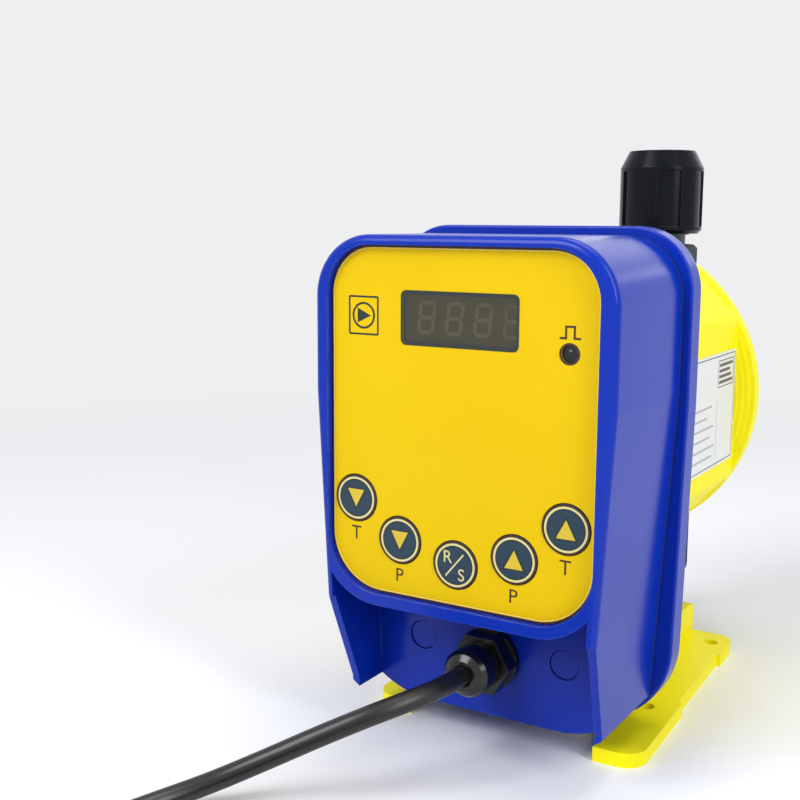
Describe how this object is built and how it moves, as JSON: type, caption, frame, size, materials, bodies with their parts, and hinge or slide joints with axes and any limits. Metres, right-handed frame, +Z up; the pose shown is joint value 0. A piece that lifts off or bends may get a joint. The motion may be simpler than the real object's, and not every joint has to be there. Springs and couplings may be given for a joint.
{
  "type": "diaphragm metering pump",
  "caption": "Solenoid diaphragm metering pump: keypad control box on a round solenoid body, liquid end with tube unions above and below, on a flat foot plate.",
  "frame": {"origin": "centre of the rectangle of foot bolt holes, on the standing surface", "axes": "+X to the right as the keypad is read, +Y from the keypad to the liquid end, +Z up"},
  "size_m": [0.1598, 0.3752, 0.2065],
  "materials": {
    "yellow_plastic": "satin moulded",
    "blue_plastic": "glossy moulded",
    "keypad_film": "satin film",
    "key_cap": "satin print",
    "smoked_window": "smoked, polished",
    "display_black": "matte",
    "lamp_lens": "gloss",
    "circuit_board": "solder mask",
    "black_plastic": "semi-gloss moulded",
    "grey_plastic": "satin machined",
    "steel": "turned",
    "brass": "turned",
    "copper_winding": "varnished wire",
    "seal_rubber": "matte",
    "diaphragm_face": "smooth fluoropolymer",
    "ceramic_ball": "polished",
    "label_white": "printed film",
    "cord_sheath": "matte"
  },
  "bodies": {
    "root": {"base_screws": "steel", "board_pillars": "steel", "board_screws": "steel", "coil_bobbin": "black_plastic", "coil_winding": "copper_winding", "control_board": "circuit_board", "cord_coil": "cord_sheath", "cord_tail": "cord_sheath", "cover_screws": "steel", "diaphragm": "diaphragm_face", "discharge_valve_body": "grey_plastic", "display_module": "display_black", "display_window": "smoked_window", "filter_capacitor": "black_plastic", "front_housing": "blue_plastic", "gland_body": "black_plastic", "gland_locknut": "black_plastic", "gland_nut": "black_plastic", "gland_seal": "seal_rubber", "guide_bushes": "brass", "head_adapter": "yellow_plastic", "head_bolts": "steel", "hose_nipples": "black_plastic", "housing_gasket": "seal_rubber", "housing_screws": "steel", "key_switches": "black_plastic", "keypad_overlay": "keypad_film", "magnet_frame": "steel", "mains_cord": "cord_sheath", "motor_housing": "yellow_plastic", "mounting_base": "yellow_plastic", "plug_body": "cord_sheath", "plug_pins": "brass", "pole_piece": "steel", "power_board": "circuit_board", "pulse_lamp": "lamp_lens", "pump_head": "grey_plastic", "rear_cover": "blue_plastic", "screw_plugs": "blue_plastic", "side_label": "label_white", "suction_valve_body": "grey_plastic", "terminal_block": "black_plastic", "valve_seals": "seal_rubber", "valve_seats": "grey_plastic"},
    "key_time_down": {"key_time_down": "key_cap"},
    "key_pulse_down": {"key_pulse_down": "key_cap"},
    "key_run_stop": {"key_run_stop": "key_cap"},
    "key_pulse_up": {"key_pulse_up": "key_cap"},
    "key_time_up": {"key_time_up": "key_cap"},
    "plunger": {"armature": "steel", "push_rod": "steel", "backing_disc": "steel", "return_spring": "steel"},
    "discharge_ball": {"discharge_ball": "ceramic_ball"},
    "suction_ball": {"suction_ball": "ceramic_ball"},
    "discharge_clamp": {"discharge_clamp_ring": "black_plastic"},
    "suction_clamp": {"suction_clamp_ring": "black_plastic"},
    "discharge_nut": {"discharge_union_nut": "black_plastic"},
    "suction_nut": {"suction_union_nut": "black_plastic"}
  },
  "joints": [
    {"name": "press_time_down", "type": "slide", "parent": "root", "child": "key_time_down", "axis": [0, 1, 0], "range_m": [0, 0.0005], "stiffness_N_per_m": 400},
    {"name": "press_pulse_down", "type": "slide", "parent": "root", "child": "key_pulse_down", "axis": [0, 1, 0], "range_m": [0, 0.0005], "stiffness_N_per_m": 400},
    {"name": "press_run_stop", "type": "slide", "parent": "root", "child": "key_run_stop", "axis": [0, 1, 0], "range_m": [0, 0.0005], "stiffness_N_per_m": 400},
    {"name": "press_pulse_up", "type": "slide", "parent": "root", "child": "key_pulse_up", "axis": [0, 1, 0], "range_m": [0, 0.0005], "stiffness_N_per_m": 400},
    {"name": "press_time_up", "type": "slide", "parent": "root", "child": "key_time_up", "axis": [0, 1, 0], "range_m": [0, 0.0005], "stiffness_N_per_m": 400},
    {"name": "stroke", "type": "slide", "parent": "root", "child": "plunger", "axis": [0, 1, 0], "range_m": [0, 0.00125], "stiffness_N_per_m": 4000, "deforming": ["return_spring", "diaphragm"]},
    {"name": "discharge_ball_lift", "type": "slide", "parent": "root", "child": "discharge_ball", "axis": [0, 0, 1], "range_m": [0, 0.0015]},
    {"name": "suction_ball_lift", "type": "slide", "parent": "root", "child": "suction_ball", "axis": [0, 0, 1], "range_m": [0, 0.0015]},
    {"name": "discharge_clamp_rise", "type": "slide", "parent": "root", "child": "discharge_clamp", "axis": [0, 0, 1], "range_m": [0, 0.005]},
    {"name": "discharge_nut_turn", "type": "hinge", "parent": "discharge_clamp", "child": "discharge_nut", "pos_m": [0, 0.0677, 0.1925], "axis": [0, 0, 1], "range_deg": [0, 720]},
    {"name": "suction_clamp_rise", "type": "slide", "parent": "root", "child": "suction_clamp", "axis": [0, 0, -1], "range_m": [0, 0.005]},
    {"name": "suction_nut_turn", "type": "hinge", "parent": "suction_clamp", "child": "suction_nut", "pos_m": [0, 0.0677, 0.0325], "axis": [0, 0, -1], "range_deg": [0, 720]}
  ],
  "couplings": [
    {"joint": "discharge_nut_turn", "follows": "discharge_clamp_rise", "rad_per_m": 2513.3},
    {"joint": "suction_nut_turn", "follows": "suction_clamp_rise", "rad_per_m": 2513.3}
  ]
}
